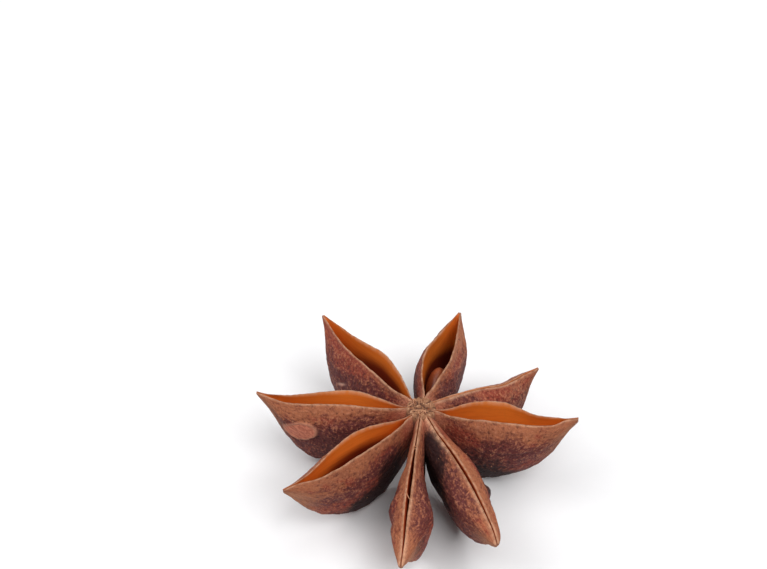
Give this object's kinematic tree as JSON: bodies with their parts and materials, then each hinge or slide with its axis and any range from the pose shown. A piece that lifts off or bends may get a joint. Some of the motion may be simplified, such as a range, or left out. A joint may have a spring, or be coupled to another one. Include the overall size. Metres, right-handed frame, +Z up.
{
  "type": "star anise pod",
  "caption": "Dried star-shaped spice pod: split, boat-shaped follicles with upturned beaks grown onto a short central column, with a flattened seed left in one of them.",
  "frame": {"origin": "middle of the pod's bounding box on the surface that it rests on", "axes": "+Z up through the central column, towards the split lips; +X to the viewer's right and +Y away from the viewer, with the pod lying on its keels"},
  "size_m": [0.038, 0.038, 0.0121],
  "materials": {
    "husk": "matte, dry, finely wrinkled bark-like skin with a smooth satin orange lining",
    "seed": "satin, smooth seed coat"
  },
  "bodies": {
    "root": {"husk": "husk", "seed": "seed"}
  },
  "joints": []
}
